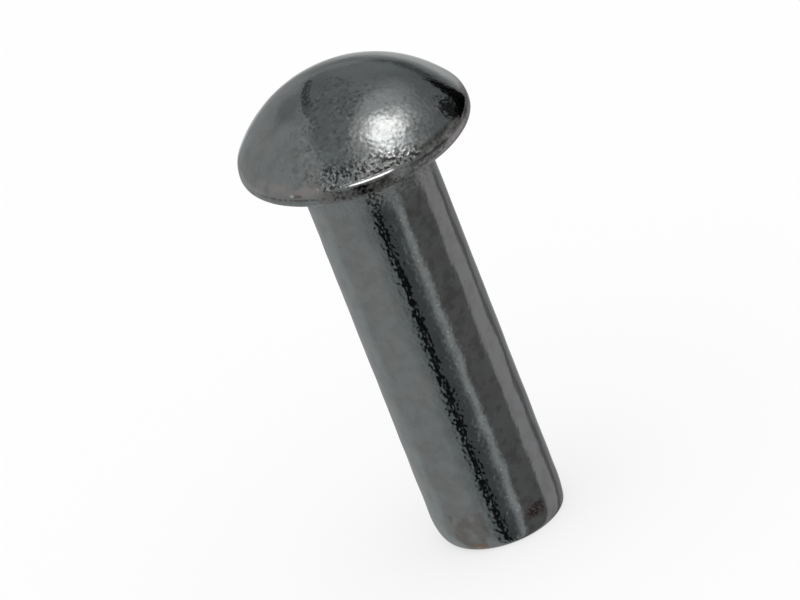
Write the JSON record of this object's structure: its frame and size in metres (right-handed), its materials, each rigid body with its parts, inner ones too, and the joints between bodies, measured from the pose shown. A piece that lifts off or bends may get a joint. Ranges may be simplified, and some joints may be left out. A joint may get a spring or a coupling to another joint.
{
  "type": "round head rivet",
  "caption": "Round head steel rivet, not yet set: a domed head with a short rim band on a plain round shank, whose sheared end is rolled over unevenly.",
  "frame": {"origin": "on the shank's axis, at the level of the sheared end face that the rivet stands on", "axes": "+Z along the shank's axis, from the sheared end to the head; +X towards the side where the sheared end is rolled over least"},
  "size_m": [0.0107, 0.0106, 0.0236],
  "materials": {
    "steel": "plain dark mill finish, finely mottled, with a few brown specks at the rim and the sheared end"
  },
  "bodies": {
    "root": {"rivet": "steel"}
  },
  "joints": []
}
